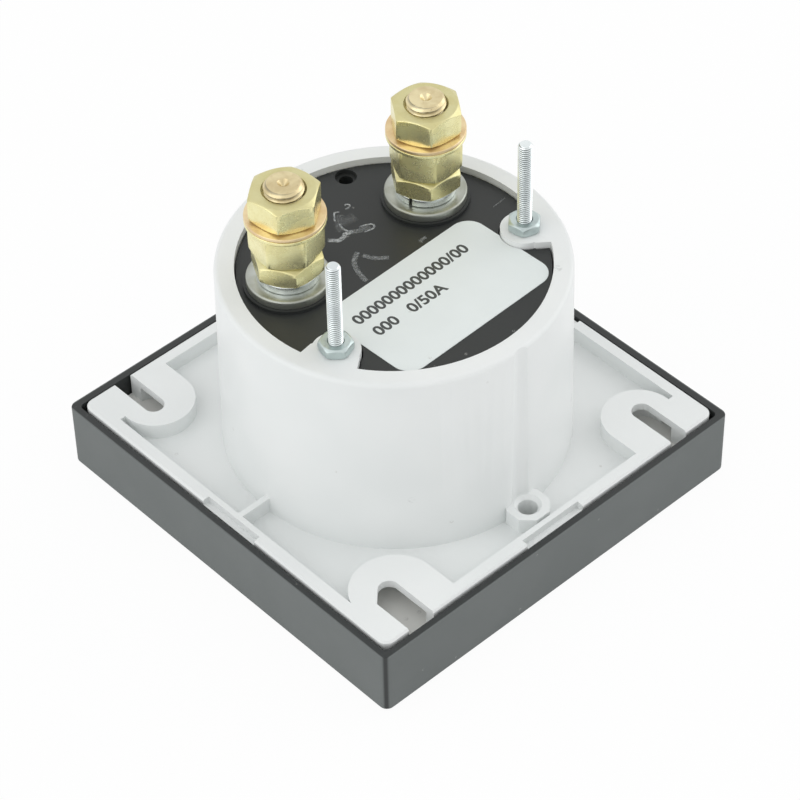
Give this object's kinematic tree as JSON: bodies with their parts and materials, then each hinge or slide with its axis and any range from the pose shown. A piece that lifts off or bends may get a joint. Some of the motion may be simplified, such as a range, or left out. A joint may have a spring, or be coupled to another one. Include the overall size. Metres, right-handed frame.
{
  "type": "analog panel meter",
  "caption": "Square moving-coil panel meter with a black bezel, white round rear housing, two stacked brass terminals and two slim fixing studs.",
  "frame": {"origin": "middle of the bezel's front face, on which the meter rests", "axes": "+Z from the front face towards the rear terminals, +Y towards the terminals' side of the barrel (upwards when the meter is mounted), +X towards the right terminal as seen from behind"},
  "size_m": [0.096, 0.096, 0.082],
  "materials": {
    "black_plastic": "satin moulded black",
    "white_plastic": "satin moulded white",
    "clear_window": "clear flat pane",
    "dial_white": "matt white dial enamel",
    "label_white": "satin white self-adhesive label",
    "brass_yellow": "bright turned brass",
    "copper_red": "bare copper and enamelled wire",
    "zinc_plate": "bright zinc plated steel",
    "steel_dark": "plain machined steel",
    "magnet_grey": "ground cast magnet",
    "light_alloy": "plain light alloy"
  },
  "bodies": {
    "case": {"bezel_frame": "black_plastic", "front_window": "clear_window", "dial_plate": "dial_white", "dial_screws": "steel_dark", "pointer_stops": "steel_dark", "base_moulding": "white_plastic", "terminal_plate": "black_plastic", "rating_label": "label_white", "terminal_stud_left": "brass_yellow", "terminal_stud_right": "brass_yellow", "plain_washer_left": "zinc_plate", "plain_washer_right": "zinc_plate", "spring_washer_left": "zinc_plate", "spring_washer_right": "zinc_plate", "lock_nut_left": "brass_yellow", "lock_nut_right": "brass_yellow", "spacer_nut_left": "brass_yellow", "spacer_nut_right": "brass_yellow", "lower_lug_washer_left": "brass_yellow", "lower_lug_washer_right": "brass_yellow", "upper_lug_washer_left": "brass_yellow", "upper_lug_washer_right": "brass_yellow", "terminal_nut_left": "brass_yellow", "terminal_nut_right": "brass_yellow", "shunt_strip": "copper_red", "lead_wires": "copper_red", "fixing_stud_left": "zinc_plate", "fixing_stud_right": "zinc_plate", "fixing_nut_left": "zinc_plate", "fixing_nut_right": "zinc_plate", "movement_frame": "light_alloy", "movement_screws": "zinc_plate", "yoke_ring": "steel_dark", "magnet_core": "magnet_grey", "core_spacers": "light_alloy", "bridge_pillars": "brass_yellow", "bridge_screws": "steel_dark", "front_bridge": "light_alloy", "rear_bridge": "light_alloy", "jewel_screw_front": "brass_yellow", "jewel_screw_rear": "brass_yellow", "jewel_nuts": "brass_yellow", "hairspring_rear": "copper_red"},
    "adjuster_screw": {"zero_screw": "black_plastic"},
    "adjuster_lever": {"zero_lever": "light_alloy", "hairspring_front": "copper_red"},
    "moving_coil": {"pointer": "black_plastic", "balance_weights": "brass_yellow", "coil_former": "light_alloy", "coil_winding": "copper_red", "pivot_front": "steel_dark", "pivot_rear": "steel_dark"}
  },
  "joints": [
    {"name": "zero_screw_turn", "type": "hinge", "parent": "case", "child": "adjuster_screw", "pos_m": [0, -0.034, 0.0015], "axis": [0, 0, 1], "range_deg": [-45, 45]},
    {"name": "zero_lever_turn", "type": "hinge", "parent": "case", "child": "adjuster_lever", "pos_m": [0, -0.02, 0.0042], "axis": [0, 0, 1], "range_deg": [-3.9, 3.9]},
    {"name": "pointer_swing", "type": "hinge", "parent": "adjuster_lever", "child": "moving_coil", "pos_m": [0, -0.02, 0.008], "axis": [0, 0, 1], "range_deg": [-3, 92.5], "stiffness_Nm_per_rad": 0.00005}
  ],
  "couplings": [
    {"joint": "zero_screw_turn", "follows": "zero_lever_turn", "ratio": -11.43}
  ]
}
